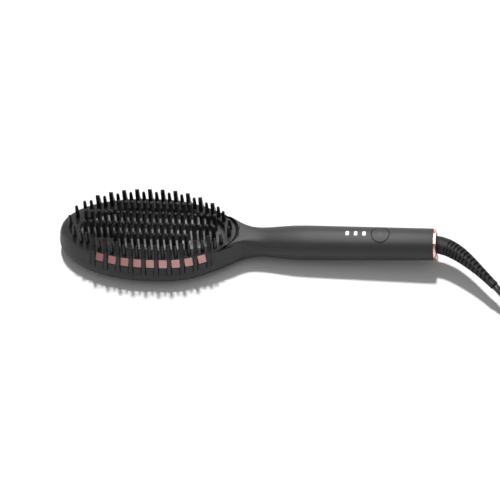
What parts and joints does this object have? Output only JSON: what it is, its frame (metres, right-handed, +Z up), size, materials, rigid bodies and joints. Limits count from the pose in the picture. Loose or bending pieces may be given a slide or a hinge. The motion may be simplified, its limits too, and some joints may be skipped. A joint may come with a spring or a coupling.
{
  "type": "heated hair straightening brush",
  "caption": "Corded heated smoothing brush with an oval head of pins and side fins, a round handle with a flush power button and three lights.",
  "frame": {"origin": "under the middle of the brush, without its free cord, on the surface it lies on", "axes": "+X along the brush towards the cord, +Z up out of the bristles, +Y to the far side in the picture"},
  "size_m": [0.4505, 0.1258, 0.039],
  "materials": {
    "shell": "fine matt, soft touch",
    "bristle": "satin nylon",
    "hot_plate": "fine satin",
    "hot_pin": "satin coated",
    "rose_gold": "polished, pink gold",
    "inner_plastic": "moulded",
    "ceramic": "fired ceramic",
    "steel": "zinc plated",
    "lead_wire": "silicone sleeve",
    "board": "solder mask",
    "led": "clear",
    "light_window": "frosted, lit white",
    "nylon": "natural nylon",
    "contact": "bright",
    "relief": "ribbed, satin",
    "cord": "satin sheath",
    "tie": "woven strap",
    "plug": "moulded satin"
  },
  "bodies": {
    "housing": {"front_shell": "shell", "back_shell": "shell", "fin_row_near": "shell", "fin_row_far": "shell", "edge_bristles_near": "bristle", "edge_bristles_far": "bristle", "tip_bristles": "bristle", "heel_bristles": "bristle", "bristle_row_1": "bristle", "bristle_row_2": "bristle", "bristle_row_3": "bristle", "bristle_row_4": "bristle", "heated_plate": "hot_plate", "heat_pins_1": "hot_pin", "heat_pins_2": "hot_pin", "heat_pins_3": "hot_pin", "heat_pins_4": "hot_pin", "well_frame": "inner_plastic", "heat_strip_near": "rose_gold", "heat_strip_far": "rose_gold", "heater_bars": "ceramic", "clamp_plate": "steel", "mica_sheet": "ceramic", "clamp_screws": "steel", "thermistor": "inner_plastic", "thermal_fuse": "steel", "terminal_block": "ceramic", "heater_leads": "lead_wire", "main_board": "board", "board_parts": "inner_plastic", "indicator_leds": "led", "light_windows": "light_window", "switch_body": "inner_plastic", "board_screws": "steel", "end_ring": "rose_gold", "end_cap": "inner_plastic", "swivel_bush": "nylon", "contact_leaves": "contact"},
    "button": {"power_button": "shell", "switch_plunger": "nylon"},
    "cord_swivel": {"swivel_spindle": "inner_plastic", "contact_rings": "contact", "strain_relief": "relief", "cord": "cord", "cord_coil": "cord", "cord_tie": "tie", "plug_body": "plug", "plug_blades": "contact"}
  },
  "joints": [
    {"name": "button_press", "type": "slide", "parent": "housing", "child": "button", "axis": [0.0436, 0, -0.999], "range_m": [0, 0.0005], "stiffness_N_per_m": 900, "springref_m": -0.0012},
    {"name": "cord_turn", "type": "hinge", "parent": "housing", "child": "cord_swivel", "pos_m": [0.1473, 0, 0.01839], "axis": [0.999, 0, 0.0436], "continuous": true}
  ]
}
